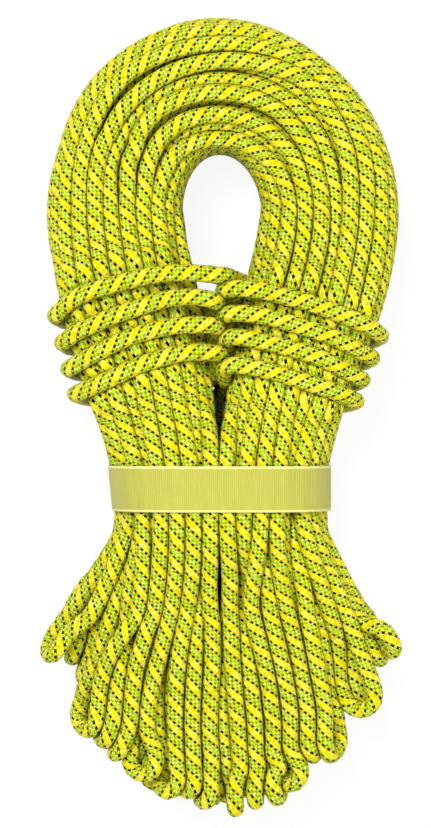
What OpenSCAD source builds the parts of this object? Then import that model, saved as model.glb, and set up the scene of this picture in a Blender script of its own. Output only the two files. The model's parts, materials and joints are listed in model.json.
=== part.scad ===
// Dynamic climbing rope, put up as a lashed butterfly hank with a stretch label band.
// The hank lies on its back: +Z is its front, the crown of strands points along +Y and the
// fan of bights along -Y. The origin is on the ground, below the middle of the hank.

/* [Rope] */
// Diameter of the rope
rope_d = 9.8; // [8.9:0.1:10.2]
// Thickness of the braided sheath
sheath_t = 0.9; // [0.7:0.05:1.1]
// Diameter of one core strand
core_strand_d = 2.5; // [1.8:0.05:2.55]
// Number of core strands round the middle one
core_ring_count = 6; // [4:1:6]

/* [Hank] */
// Distance from the crown's top to the tip of the longest bight
hank_l = 452; // [430:2:500]
// Width across the crown
crown_w = 201; // [190:1:220]
// Depth of the bundle of strands, front to back, at the crown
crown_depth = 92; // [80:1:96]
// Width of the eye
eye_w = 44; // [30:1:56]
// Height of the eye above the line where the crown's round part begins
eye_rise = 31; // [20:1:40]
// Distance from the hank's middle to the line where the crown's round part begins
crown_y = 117; // [114:1:126]

/* [Lashing] */
// Width across both legs under the top turn
lashed_top_w = 175; // [160:1:186]
// Width across both legs under the bottom turn
lashed_bottom_w = 152; // [144:1:158]
// Gap between the two legs, where the turns cross
leg_gap = 12; // [11.4:0.1:14]
// Height of the middle of the lashing above the hank's middle
lashing_y = 46; // [42:1:50]
// Space between the lashing and the strands under it
lashing_clearance = 0.9; // [0.6:0.05:1.2]
// Space between two turns where they cross between the legs
crossing_clearance = 0.4; // [0.3:0.05:0.6]
// Spacing of the turns along the outside of a leg
turn_pitch = 14.4; // [13.2:0.1:15]
// How much higher a turn is at the gap than at the outside of the leg
turn_rise = 24; // [16:1:28]

/* [Waist and band] */
// Width of the bundle under the band
waist_w = 123; // [112:1:128]
// Depth of the bundle under the band
waist_depth = 114; // [100:1:116]
// Length of the straight part of the waist
waist_l = 45.6; // [42:0.2:48]
// Distance from the hank's middle down to the top of the waist
waist_top_drop = 20; // [16:1:24]
// Width of the band's webbing
band_w = 25.5; // [20:0.5:28]
// Thickness of the band's webbing
band_t = 1.2; // [0.8:0.1:1.4]
// Space between the band and the strands, and between the overlap and the ground
band_clearance = 0.3; // [0.2:0.05:0.5]
// Distance from the waist's top to the band's upper edge
band_drop = 7.5; // [7.2:0.1:9]
// Length of the band's sewn overlap
overlap_l = 24; // [16:1:30]
// Number of stitches across the band in one row
stitch_count = 6; // [3:1:7]
// Diameter of the stitching thread
thread_d = 0.24; // [0.16:0.02:0.28]

/* [Fan of bights] */
// Width across the tips of the outermost bights
fan_w = 206; // [180:1:212]
// Length of the throat, where the strands spread after the waist
throat_l = 42.4; // [36:0.2:46]
// Width across the throat's lower end
throat_w = 176; // [160:1:184]
// Height of the front of the throat's lower end above the ground
throat_top = 98; // [90:1:104]
// Number of bights side by side on each half of the fan
bight_count = 10; // [8:1:10]
// Height of the fan's front at the bights
fan_depth = 84; // [72:1:90]
// Length by which the bights differ
bight_stagger = 16; // [0:1:22]
// Height kept free above the ground for the rope's two ends
tail_room = 12; // [11.8:0.1:14]

/* [Rope ends] */
// Distance of each free end from the middle plane of the hank
tail_x = 26; // [24:1:30]
// Height of the free ends' axis above the ground
tail_z = 6; // [5.6:0.1:6.2]
// Length of the swinging part, up to its fused cap
tail_l = 100; // [60:1:104]
// Distance from the waist to the point where the free end bends
tail_lead = 38.4; // [30:0.2:42]
// Space between the lead and the free end
tail_clearance = 0.3; // [0.2:0.05:0.5]
// Length of the fused cap
cap_l = 7; // [4:0.5:10]
// Length of the shrunk sleeve
sleeve_l = 28; // [20:1:34]
// Thickness of the shrunk sleeve
sleeve_t = 0.4; // [0.3:0.05:0.5]
// Length of the tag under the sleeve
tag_l = 18; // [10:1:20]
// Thickness of the tag under the sleeve
tag_t = 0.16; // [0.1:0.02:0.2]
// Thickness of the marker tape in the core
tape_t = 0.16; // [0.1:0.02:0.2]

/* [Hidden] */
// Number of figure-of-eight turns: each has a module call of its own
lashing_turns = 4;
rope_r = rope_d / 2;
bore_r = rope_r - sheath_t;
top_y = hank_l / 2;
waist_y = -waist_top_drop;
throat_y = waist_y - waist_l;
bights_y = throat_y - throat_l;

// Roundness of a bundle's section: 2 is an ellipse, and more is squarer
bundle_power = 3;
// Number of sides of a bundle, of the waist's and band's sections, and of a tube
bundle_sides = 24;
waist_sides = 72;
tube_sides = 8;

// Space that the lashing needs under the legs, and that the band's overlap needs under the waist
leg_bottom = rope_d + lashing_clearance;
waist_bottom = 2 * band_t + 2 * band_clearance;
leg_top = waist_bottom + waist_depth;
lashed_depth = crown_depth;

// Ground level of the strands beside the lashing: they sag from the legs to the ground
sag_start_y = lashing_y + 38;

half_turns = 2 * lashing_turns;
cross_pitch = rope_d + crossing_clearance;
tail_y = throat_y - tail_lead;
sleeve_end = 5;
fit = 0.02;

rope_yellow = [0.93, 0.85, 0.12];
lashing_green = [0.72, 0.80, 0.14];
band_khaki = [0.80, 0.76, 0.42];

// ---------------------------------------------------------------- sections and lofts

function signed_pow(v, p) = sign(v) * pow(abs(v), p);

// A point of a bundle's section, with half its width, half its depth and an angle
function bundle_point(half_w, half_d, t) =
    [half_w * signed_pow(cos(t), 2 / bundle_power), half_d * signed_pow(sin(t), 2 / bundle_power)];

// The outward direction at that point
function bundle_normal(half_w, half_d, t) =
    let (
        n = [signed_pow(cos(t), 2 - 2 / bundle_power) / half_w,
             signed_pow(sin(t), 2 - 2 / bundle_power) / half_d]
    ) n / norm(n);

// A ring of a loft: its centre, the direction of its width, half its width and half its depth
function bundle_ring(centre, across, half_w, half_d) =
    [for (i = [0 : bundle_sides - 1])
        let (p = bundle_point(half_w, half_d, i * 360 / bundle_sides))
        centre + p[0] * across + [0, 0, p[1]]];

// A closed solid through rings that all have the same number of points
module loft(rings) {
    n = len(rings[0]);
    last = len(rings) - 1;
    points = [for (ring = rings) each ring];
    walls = [for (k = [0 : last - 1], i = [0 : n - 1])
        let (j = (i + 1) % n, a = k * n, b = a + n)
        each [[a + i, b + i, b + j], [a + i, b + j, a + j]]];
    ends = [[for (i = [0 : n - 1]) i], [for (i = [n - 1 : -1 : 0]) last * n + i]];
    polyhedron(points = points, faces = concat(walls, ends));
}

function unit(v) = v / norm(v);

// The direction of a route at its point k
function heading(route, k) =
    unit(route[min(k + 1, len(route) - 1)] - route[max(k - 1, 0)]);

// The sideways direction of each ring, carried along the route without twist
function side_directions(route, k = 0, side = [0, 0, 0]) =
    let (
        ahead = heading(route, k),
        first = abs(ahead[2]) < 0.9 ? [0, 0, 1] : [0, 1, 0],
        guess = k == 0 ? first : side,
        here = unit(guess - (guess * ahead) * ahead)
    )
    k == len(route) - 1 ? [here] : concat([here], side_directions(route, k + 1, here));

// The rings of a rope along a route
function rope_rings(route) =
    let (sides = side_directions(route))
    [for (k = [0 : len(route) - 1])
        let (u = sides[k], v = cross(heading(route, k), u))
        [for (i = [0 : tube_sides - 1])
            let (t = (i + 0.5) * 360 / tube_sides)
            route[k] + rope_r * (cos(t) * u + sin(t) * v)]];

// ---------------------------------------------------------------- strands of the hank

// Outside of a leg, as a distance from the middle plane, at a height along the hank
function leg_outer(y) = lookup(y, [
    [waist_y, waist_w / 2 + 3],
    [lashing_y - 38, lashed_bottom_w / 2],
    [lashing_y + 14, lashed_top_w / 2],
    [crown_y, crown_w / 2]]);

// Inside of a leg
function leg_inner(y) = lookup(y, [
    [waist_y, leg_gap / 12],
    [lashing_y - 40, leg_gap / 2],
    [sag_start_y - 10, leg_gap / 2],
    [sag_start_y + 4, eye_w * 0.3],
    [crown_y, eye_w / 2]]);

function leg_low(y) = lookup(y, [[sag_start_y, leg_bottom], [crown_y, 0]]);

function leg_high(y) = lookup(y, [
    [waist_y, leg_top],
    [lashing_y - 10, leg_bottom + lashed_depth],
    [sag_start_y, leg_bottom + lashed_depth],
    [crown_y, crown_depth]]);

function leg_half_w(y) = (leg_outer(y) - leg_inner(y)) / 2;
function leg_half_d(y) = (leg_high(y) - leg_low(y)) / 2;

// Middle of a leg's section: side is -1 for the left leg and 1 for the right one
function leg_middle(side, y) =
    [side * (leg_outer(y) + leg_inner(y)) / 2, y, (leg_high(y) + leg_low(y)) / 2];

module crown_strands() {
    steps = 20;
    color(rope_yellow)
    loft([for (k = [0 : steps])
        let (
            t = 180 - k * 180 / steps,
            outer = [crown_w / 2 * cos(t), crown_y + (top_y - crown_y) * sin(t), 0],
            inner = [eye_w / 2 * cos(t), crown_y + eye_rise * sin(t), 0]
        )
        bundle_ring((outer + inner) / 2 + [0, 0, crown_depth / 2], unit(outer - inner),
            norm(outer - inner) / 2, crown_depth / 2)]);
}

module leg_strands(side) {
    stations = [waist_y, lashing_y - 38, lashing_y - 10, lashing_y + 14, sag_start_y - 10,
        sag_start_y, sag_start_y + 4, crown_y];
    color(rope_yellow)
    loft([for (y = stations)
        bundle_ring(leg_middle(side, y), [-1, 0, 0], leg_half_w(y), leg_half_d(y))]);
}

module waist_section(extra) {
    half_w = waist_w / 2;
    half_d = waist_depth / 2;
    polygon([for (i = [0 : waist_sides - 1])
        let (t = i * 360 / waist_sides)
        bundle_point(half_w, half_d, t) + extra * bundle_normal(half_w, half_d, t)]);
}

// Stretches a section along -Y from a height along the hank
module along_waist(y, length) {
    translate([0, y, waist_bottom + waist_depth / 2])
    rotate([90, 0, 0])
    linear_extrude(height = length) children();
}

module waist_strands() {
    color(rope_yellow)
    along_waist(waist_y, waist_l) waist_section(0);
}

module throat_strands() {
    // Share of the throat's length, of its widening and of its flattening at each ring
    shares = [[0, 0, 0], [0.3, 0.16, 0.3], [0.6, 0.5, 0.66], [1, 1, 1]];
    color(rope_yellow)
    loft([for (s = shares)
        let (
            high = leg_top + s[2] * (throat_top - leg_top),
            half_w = waist_w / 2 + s[1] * (throat_w - waist_w) / 2
        )
        bundle_ring([0, throat_y - s[0] * throat_l, (high + tail_room) / 2], [1, 0, 0],
            half_w, (high - tail_room) / 2)]);
}

// ---------------------------------------------------------------- bights

// Distance of the first bight's tip from the middle plane, and of any bight's tip and foot
first_tip_x = rope_r + 1;
function tip_x(j) = first_tip_x + j * (fan_w / 2 - rope_r - first_tip_x) / (bight_count - 1);
function foot_x(j) = tip_x(j) * (throat_w / 2 - rope_r) / (fan_w / 2 - rope_r);

// How far a bight reaches below the throat, at a distance from the middle plane
function fan_reach(x) =
    (bights_y + top_y) * pow(1 - pow((x - first_tip_x) / (fan_w / 2), 2.2), 0.625);

// One folded bight seen from the front: a bar with a round end
module bight_outline(side, j, tier) {
    tip = tip_x(j);
    foot = foot_x(j);
    shorter = bight_stagger * (0.5 - 0.5 * cos(137 * j + 101 * (front_tier - tier)));
    reach = max(fan_reach(tip) - shorter - rope_r, rope_d);
    turn = atan2(tip - foot, reach);
    length = norm([tip - foot, reach]);
    translate([side * foot, bights_y])
    rotate(side * turn) {
        translate([-rope_r, -length]) square([rope_d, length]);
        translate([0, -length]) circle(r = rope_r, $fn = 32);
        circle(r = rope_r, $fn = 32);
    }
}

// A layer of bights on one side, cut off flush with the throat and the middle plane
module bight_layer(side, tier, first, last, low, high) {
    inner = foot_x(first) - rope_r;
    outer = foot_x(last);
    translate([0, 0, low])
    linear_extrude(height = high - low)
    intersection() {
        union() {
            for (j = [first : last]) bight_outline(side, j, tier);
            // The feet of the bights lie side by side below the throat
            translate([side > 0 ? inner : -outer, bights_y - rope_d])
            square([outer - inner, rope_d]);
        }
        translate([side > 0 ? 0 : -fan_w, -top_y]) square([fan_w, bights_y + top_y]);
    }
}

layer_heights = [0, fan_depth * 0.36, fan_depth * 0.68, fan_depth];
front_tier = len(layer_heights) - 2;
// The bights from this one outwards reach down to the ground, beside the rope's free ends
first_grounded = bight_count - 5;

module bights(side, tier) {
    color(rope_yellow)
    if (tier == 0) {
        bight_layer(side, tier, 0, bight_count - 1, tail_room, layer_heights[1]);
        bight_layer(side, tier, first_grounded, bight_count - 1, 0, tail_room);
    }
    else bight_layer(side, tier, 0, bight_count - 1, layer_heights[tier], layer_heights[tier + 1]);
}

// ---------------------------------------------------------------- lashing

// Height along the hank of half turn k: at the outside of its leg, where it turns in at the
// front of the gap, and halfway through the gap
function outer_y(k) = lashing_y - turn_rise / 2 + turn_pitch * (half_turns / 2 - 0.5 - k) / 2;
function front_y(k) = lashing_y + 8 + (turn_pitch / 2) * (half_turns / 2 - 0.5 - k);
function middle_y(k) = lashing_y + 4 + cross_pitch * (half_turns / 2 - 0.5 - k);

// A point of the lashing beside a leg's section; the angle is measured from the leg's outside
function beside_leg(side, y, t) =
    let (
        half_w = leg_half_w(y),
        half_d = leg_half_d(y),
        p = bundle_point(half_w, half_d, t)
            + (rope_r + lashing_clearance) * bundle_normal(half_w, half_d, t)
    )
    leg_middle(side, y) + [side * p[0], 0, p[1]];

// How far across the leg an angle is: 0 at its outside and 1 where the leg turns into the gap
function share_across(t) =
    min(1, (1 - signed_pow(cos(t), 2 / bundle_power)) / 1.8);

turn_step = 18;

// Height along the hank at an angle, for a rope that goes between the outside of a leg, the
// leg's edge beside the gap, and the gap itself, where the half turns need their full spacing
function route_y(outside_y, edge_y, gap_y, t) =
    abs(t - 180) <= turn_step ? gap_y : outside_y + share_across(t) * (edge_y - outside_y);

// The front half of half turn k: from the outside of its leg over the front into the gap
function front_route(k) =
    let (side = k % 2 == 0 ? -1 : 1)
    [for (t = [0 : turn_step : 180 - turn_step])
        beside_leg(side, route_y(outer_y(k), front_y(k), middle_y(k), t), t)];

// Halfway through the gap
function gap_point(k) = [0, middle_y(k), leg_bottom + lashed_depth / 2];

// The back half of half turn k: out of the gap behind the other leg, up to its outside
function back_route(k) =
    let (
        side = k % 2 == 0 ? 1 : -1,
        back_y = (front_y(k) + middle_y(k)) / 2
    )
    [for (t = [180 + turn_step : turn_step : 360 - turn_step])
        beside_leg(side, route_y(outer_y(k + 1), back_y, middle_y(k), t), t)];

// The lashing starts behind the left leg, where the last pass of the hank ends
start_route =
    [for (t = [270 - turn_step : turn_step : 360 - turn_step])
        beside_leg(-1, outer_y(0) + share_across(t) * turn_rise / 2, t)];

// After the last turn the rope goes down the back into the waist, under the band
finish_route =
    let (y = middle_y(half_turns - 1), low = leg_bottom - lashing_clearance - rope_r)
    [[0, y, low + 21],
     [0, y - 1, low + 12],
     [0, y - 4.5, low + 5],
     [0, y - 11, low + 1],
     [0, waist_y + 6, low + 2],
     [0, waist_y, low + 2]];

// The whole lashing: each half turn ends where the next one begins, at the outside of a leg
half_turn_points = 2 * 180 / turn_step;
lashing_rings = rope_rings(concat(
    start_route,
    [for (k = [0 : half_turns - 1]) each concat(front_route(k), [gap_point(k)],
        k < half_turns - 1 ? back_route(k) : [])],
    finish_route));
finish_start = len(lashing_rings) - len(finish_route) - 1;

// A piece of the lashing between two of its rings
module lashing_piece(first, last) {
    color(lashing_green)
    loft([for (k = [first : last]) lashing_rings[k]]);
}

// A turn is a half turn over the left leg's front and one over the right leg's front
module lashing_turn(n) {
    first = len(start_route) + 2 * half_turn_points * (n - 1);
    lashing_piece(n == 1 ? 0 : first,
        n < lashing_turns ? first + 2 * half_turn_points : finish_start);
}

module finishing_lead() {
    lashing_piece(finish_start, len(lashing_rings) - 1);
}

// ---------------------------------------------------------------- band

module label_band() {
    color(band_khaki)
    along_waist(waist_y - band_drop, band_w) {
        difference() {
            waist_section(band_clearance + band_t);
            waist_section(band_clearance);
        }
        // The overlap, sewn behind the hank
        translate([-overlap_l / 2, -waist_depth / 2 - band_clearance - 2 * band_t])
        square([overlap_l, 1.1 * band_t]);
    }
}

module band_stitches() {
    below = waist_bottom - band_clearance - 2 * band_t;
    stitch_l = band_w / (stitch_count + 2);
    color("olive")
    for (row = [-1, 1], i = [0 : stitch_count - 1])
        translate([row * (overlap_l / 2 - 2.5),
            waist_y - band_drop - stitch_l * 1.4 - i * (band_w - 2 * stitch_l) / stitch_count,
            below - thread_d / 2])
        rotate([90, 0, 0]) cylinder(d = thread_d, h = stitch_l * 0.7, $fn = 16);
}

// ---------------------------------------------------------------- free ends

// Turns a shape that is drawn along +Z to lie along -Y from the bend of a free end
module at_tail(side) {
    translate([side * tail_x, tail_y, tail_z]) rotate([90, 0, 0]) children();
}

module end_lead(side) {
    color(rope_yellow)
    translate([side * tail_x, throat_y, tail_z])
    rotate([90, 0, 0])
    cylinder(r = rope_r, h = tail_lead - rope_r - tail_clearance, $fn = 48);
}

module end_sheath(side) {
    color(rope_yellow)
    at_tail(side)
    difference() {
        union() {
            // Its inner end is round about the line that it swings on
            intersection() {
                rotate([90, 0, 0]) cylinder(r = rope_r, h = rope_d, center = true, $fn = 48);
                cylinder(r = rope_r, h = rope_d, center = true, $fn = 48);
            }
            cylinder(r = rope_r, h = tail_l, $fn = 48);
        }
        translate([0, 0, sheath_t]) cylinder(r = bore_r, h = tail_l, $fn = 48);
    }
}

module end_core(side) {
    ring_r = bore_r - core_strand_d / 2 - tape_t - 2 * fit;
    color("white")
    at_tail(side)
    translate([0, 0, sheath_t + fit]) {
        cylinder(d = core_strand_d - fit, h = tail_l - sheath_t - fit, $fn = 24);
        for (i = [0 : core_ring_count - 1])
            rotate(i * 360 / core_ring_count)
            translate([ring_r, 0, 0])
            cylinder(d = min(core_strand_d, ring_r) - 2 * fit, h = tail_l - sheath_t - fit, $fn = 24);
    }
}

module end_marker_tape(side) {
    color("crimson")
    at_tail(side)
    translate([0, 0, sheath_t + fit])
    linear_extrude(height = tail_l - sheath_t - fit)
    intersection() {
        difference() {
            circle(r = bore_r - fit, $fn = 48);
            circle(r = bore_r - fit - tape_t, $fn = 48);
        }
        polygon([[0, 0], [-bore_r, 2 * bore_r], [bore_r, 2 * bore_r]]);
    }
}

// The sheath and the core are fused together into a round-edged cap
module end_cap(side) {
    edge = 1.6;
    color("darkkhaki")
    at_tail(side)
    translate([0, 0, tail_l])
    rotate_extrude($fn = 48) {
        square([rope_r, cap_l - edge]);
        square([rope_r - edge, cap_l]);
        translate([rope_r - edge, cap_l - edge]) circle(r = edge, $fn = 24);
    }
}

module end_tag(side) {
    color("whitesmoke")
    at_tail(side)
    translate([0, 0, tail_l - sleeve_end - (sleeve_l + tag_l) / 2])
    linear_extrude(height = tag_l)
    difference() {
        circle(r = rope_r + fit + tag_t, $fn = 48);
        circle(r = rope_r + fit, $fn = 48);
    }
}

module end_sleeve(side) {
    inner_r = rope_r + 2 * fit + tag_t;
    color([0.85, 0.9, 0.95, 0.5])
    at_tail(side)
    translate([0, 0, tail_l - sleeve_end - sleeve_l])
    linear_extrude(height = sleeve_l)
    difference() {
        circle(r = inner_r + sleeve_t, $fn = 48);
        circle(r = inner_r, $fn = 48);
    }
}

crown_strands();
leg_strands(-1);  // left_leg_strands
leg_strands(1);  // right_leg_strands
waist_strands();
throat_strands();
bights(-1, 2);  // left_front_bights
bights(-1, 1);  // left_middle_bights
bights(-1, 0);  // left_back_bights
bights(1, 2);  // right_front_bights
bights(1, 1);  // right_middle_bights
bights(1, 0);  // right_back_bights
lashing_turn(1);  // lashing_turn_1
lashing_turn(2);  // lashing_turn_2
lashing_turn(3);  // lashing_turn_3
lashing_turn(4);  // lashing_turn_4
finishing_lead();
end_lead(-1);  // first_end_lead
end_lead(1);  // last_end_lead
label_band();
band_stitches();
end_sheath(-1);  // first_end_sheath
end_core(-1);  // first_end_core
end_marker_tape(-1);  // first_end_marker_tape
end_cap(-1);  // first_end_cap
end_tag(-1);  // first_end_tag
end_sleeve(-1);  // first_end_sleeve
end_sheath(1);  // last_end_sheath
end_core(1);  // last_end_core
end_marker_tape(1);  // last_end_marker_tape
end_cap(1);  // last_end_cap
end_tag(1);  // last_end_tag
end_sleeve(1);  // last_end_sleeve
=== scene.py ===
"""Looks of the dynamic climbing rope: a 60 m rope put up as a lashed butterfly hank.

The rope is one centreline. A small position-based solver packs its passes inside the hank's
form, and the sheath is swept along it. Lengths in the solver are in millimetres; +X is right,
+Y is towards the crown and +Z is the hank's front, which faces up.
"""
import json
import math

import bpy
import numpy as np
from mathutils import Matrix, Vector


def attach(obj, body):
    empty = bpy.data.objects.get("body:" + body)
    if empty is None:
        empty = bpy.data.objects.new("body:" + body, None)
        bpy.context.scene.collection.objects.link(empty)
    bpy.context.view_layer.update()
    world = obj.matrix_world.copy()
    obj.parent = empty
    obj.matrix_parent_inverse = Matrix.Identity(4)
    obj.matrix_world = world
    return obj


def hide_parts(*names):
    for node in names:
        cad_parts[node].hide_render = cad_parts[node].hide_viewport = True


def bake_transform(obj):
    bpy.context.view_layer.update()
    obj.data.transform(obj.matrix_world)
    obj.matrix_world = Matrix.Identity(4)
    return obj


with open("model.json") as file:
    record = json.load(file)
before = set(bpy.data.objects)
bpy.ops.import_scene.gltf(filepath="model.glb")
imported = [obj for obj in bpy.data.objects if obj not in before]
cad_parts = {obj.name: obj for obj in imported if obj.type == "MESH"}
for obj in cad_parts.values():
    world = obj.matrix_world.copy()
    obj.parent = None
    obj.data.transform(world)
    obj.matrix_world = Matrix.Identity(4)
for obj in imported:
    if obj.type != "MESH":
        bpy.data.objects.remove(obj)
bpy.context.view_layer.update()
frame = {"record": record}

MM = 0.001
ROPE_D = 9.8
ROPE_R = ROPE_D / 2
STEP = 5.0  # spacing of the solver's points along the rope
PX = 0.567  # millimetres to one pixel of the frame
PX_X, PX_Y = 219.5, 416.5  # the pixel over the hank's middle
FRAME_W, FRAME_H = 431, 828
VIEW_Z = 55.0  # height at which the frame's scale holds
CAMERA_H = 2300.0  # camera's height above that

# ---- camera and light


def link(obj):
    bpy.context.scene.collection.objects.link(obj)
    return obj


def make_camera():
    data = bpy.data.cameras.new("camera")
    camera = link(bpy.data.objects.new("camera", data))
    data.sensor_width = 36.0
    data.lens = data.sensor_width * CAMERA_H / (FRAME_H * PX)
    data.clip_start, data.clip_end = 0.1, 20
    camera.location = ((FRAME_W / 2 - PX_X) * PX * MM, (PX_Y - FRAME_H / 2) * PX * MM,
                       (VIEW_Z + CAMERA_H) * MM)
    bpy.context.scene.camera = camera


def area_light(name, place, target, size, power):
    data = bpy.data.lights.new(name, "AREA")
    data.shape, data.size, data.energy = "DISK", size, power
    lamp = link(bpy.data.objects.new(name, data))
    lamp.location = place
    direction = [t - p for t, p in zip(target, place)]
    lamp.rotation_euler = Vector(direction).to_track_quat("-Z", "Y").to_euler()


make_camera()

# ---- the hank's form

EYE = (22.0, 32.3)  # half-axes of the eye's round end
EYE_SHIFT = (1.5, -1.0)  # how much further out its right and left foot lies
CROWN = (100.5, 109.0)  # half-axes of the crown's outside
CROWN_Y = 117.0
CROWN_DEPTH = 92.0
# Bumps and dents of the crown's outside, right and left: size, angle from its foot, breadth
CROWN_BUMPS = ([(2.0, 0, 0.25), (-1.6, 1, 0.35)], [(-1.8, 0, 0.15), (-3.4, 0.34, 0.26)])
# Half widths of the bundle, and of the gap between its legs: at each y, to the left and the right
EDGE = ([-120, -108, -65.6, -56, -30, -20, -8, 8, 24, 40, 60, 84, 100, 117],
        [97, 88, 60, 59.2, 61.2, 66.5, 73, 80.5, 85, 88, 91, 93.5, 97, 99.2],
        [94, 83, 61.5, 61.3, 61.4, 63.5, 67, 74.5, 81, 87, 95, 98, 100.8, 102.7])
GAP = ([-10, 2, 14, 24, 34, 56, 66, 72, 78, 88, 100, 117],
       [-8, 0.2, 3.6, 4.4, 2.5, 2.5, 4, 9, 11.5, 14, 17.4, 21],
       [-8, 0.2, 3.6, 4.4, 2.5, 2.5, 3, 5, 10, 16, 20.5, 23.5])
# Heights of the bundle's back and front, at each y
LOW = ([-108, -65.6, -20, -6, 10, 84, 104, 117],
       [3, 3, 3, 8, 10.5, 10.5, 3, 0])
HIGH = ([-230, -180, -108, -65.6, -30, -16, 10, 40, 84, 104, 117],
        [81, 86, 99, 117, 117, 115, 108, 106.5, 104, 97, CROWN_DEPTH])
FORM_END_Y = -117  # the bights past this keep their own form
SECTION_POWER = 3.2  # how square the bundle's section is
WAIST_POWER = 2.8  # and inside the band, which is rounder
WAIST_Y = [-84, -70, -22, -6]  # it gets rounder from the first to the second, and square again
THROAT_Y = (0, 68)  # here the lashing's crossings draw the legs together
THROAT_Z, THROAT_RISE = 74, 20  # up to this height; above it the gap opens again
THROAT_SHARE = 0.2  # share of the gap's width that they leave
SPLIT_Y, SPLIT_Z = (-112, -72), 62  # place and least height of the dark line in the fan's middle
SPLIT_AT, SPLIT_LONG, SPLIT_HALF = -93, 12, 1.0  # its widest place, its length and half width
ENDS_ROOM = 12.6  # height that the free ends take under the bights
ENDS_X, ENDS_Y = (66, 14), (-66, 20)  # where the strands start to rise over them, and how fast
COLUMNS, ROWS = 8, 9
SLOT_LIMITS = (0.045, 0.955)  # how near the section's sides a strand's middle may lie
SUNKEN = (1, 5)  # columns whose front strand goes under in the waist
SINK_Y, SINK_LONG = 20, 40  # where they start to, and the way on which they go one row down
# Where each column's front strand lies, as a share of the way across: left leg, crown, right leg
FRONT_U = ([0.07, 0.165, 0.275, 0.40, 0.51, 0.62, 0.76, 0.93],
           [0.045, 0.14, 0.285, 0.44, 0.56, 0.68, 0.81, 0.935],
           [0.06, 0.19, 0.31, 0.44, 0.56, 0.68, 0.80, 0.93])
# Dark lines between the crown's front strands: columns inside the line, half its width, pixels
FRONT_GAPS = [
    (3, 0.8, [(135, 205), (137, 164), (149, 134), (162, 118), (181, 110), (198, 104), (210, 103),
              (245, 104), (273, 118), (288, 135), (300, 151), (307, 172)]),
    (2, 0.6, [(154, 180), (159, 159), (168, 143), (181, 137), (198, 131), (210, 129), (244, 130),
              (262, 143), (290, 161), (294, 188)]),
    (5, 0.9, [(205, 70), (228, 69), (262, 73), (297, 84), (313, 101), (325, 126), (337, 150),
              (343, 190)]),
    (6, 0.7, [(198, 54), (181, 57), (162, 64), (143, 73), (128, 84), (119, 94), (108, 112),
              (98, 140)]),
    (4, 0.6, [(134, 132), (128, 143), (120, 158), (118, 172), (119, 200)])]


def at_pixel(px, py, z=VIEW_Z):
    """The place at a height z that the camera sees at a pixel."""
    scale = PX * (1 - (z - VIEW_Z) / CAMERA_H)
    return (px - PX_X) * scale, (PX_Y - py) * scale


def lengths_along(P):
    """Length of the line P up to each of its points."""
    return np.concatenate([[0], np.cumsum(np.linalg.norm(np.diff(P, axis=0), axis=1))])


def points_at(at, s, P):
    """The points at lengths of the line P, whose own points lie at the lengths s."""
    return np.stack([np.interp(at, s, column) for column in P.T], 1)


def share(x, width):
    """From 0 to 1 as x goes from 0 to a width."""
    return np.clip(x / width, 0, 1)


def edges(y, side):
    """Half widths of the legs' gap and of the bundle on one side, at y."""
    return [np.where(side < 0, np.interp(y, at, left), np.interp(y, at, right))
            for at, left, right in (GAP, EDGE)]


def heights(y):
    """Heights of the bundle's back and front at y."""
    return np.interp(y, *LOW), np.interp(y, *HIGH)


# Column and row of every pass, in the order in which the rope lays them
SLOTS = [(c, r) for c in range(COLUMNS) for r in range(ROWS)[::-1 if c % 2 else 1]]
PASSES = len(SLOTS)
rng = np.random.default_rng(7)


def section_point(side, kind, s, u, w):
    """A point of the bundle: u across it from the middle outwards, w from back to front."""
    if kind == "crown":
        a = math.radians(s)
        x, y = [EYE[i] + (CROWN[i] - EYE[i]) * u for i in (0, 1)]
        return [side * x * math.cos(a), CROWN_Y + y * math.sin(a), CROWN_DEPTH * w]
    gap, out = edges(s, side)
    gap = max(float(gap), 0.0)
    low, high = heights(s)
    return [side * (gap + (float(out) - gap) * u), s, low + (high - low) * w]


STATIONS = [("leg", y) for y in (-65.6, -46, -24, 4, 34, 64, 92)]
STATIONS += [("crown", a) for a in (0, 22, 45, 68)]
HALF_PASS = len(STATIONS)
DRIFT_WAVES = (1.1, 2.7, 1.3, 3.1)  # waves of a pass's wandering: two across, two in depth
SMALL_DRIFT = (0.12, 0.1)  # size of the second wave of each
drift_phase = rng.uniform(0, 2 * np.pi, (PASSES, 4))
drift_size = rng.uniform(0.08, 0.30, (PASSES, 2))


def drift(k, t):
    """How far a pass wanders from its slot, in slots, at a share t of its way."""
    wave = [math.sin(2 * math.pi * t * f + p) for f, p in zip(DRIFT_WAVES, drift_phase[k])]
    return (drift_size[k, 0] * wave[0] + SMALL_DRIFT[0] * wave[1],
            drift_size[k, 1] * wave[2] + SMALL_DRIFT[1] * wave[3])


def pass_points(k):
    """One pass from the left fan over the crown to the right fan."""
    c, r = SLOTS[k]
    way = [(-1,) + s for s in STATIONS] + [(1, "crown", 90)] + [(1,) + s for s in STATIONS[::-1]]
    stagger = 0.25 if c % 2 else -0.25
    points = []
    for i, (side, kind, s) in enumerate(way):
        t = i / (len(way) - 1)
        du, dw = drift(k, t)
        u = np.clip((c + 0.5 + du) / COLUMNS, *SLOT_LIMITS)
        if r == ROWS - 1:
            u = np.interp(t, [0.25, 0.5, 0.75], [row[c] for row in FRONT_U])
            if kind == "leg" and s < SINK_Y and c in SUNKEN:
                dw -= min(1.0, (SINK_Y - s) / SINK_LONG)
        w = np.clip((r + 0.5 + stagger + dw) / ROWS, *SLOT_LIMITS)
        points.append(section_point(side, kind, s, u, w))
    return np.array(points)


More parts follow.
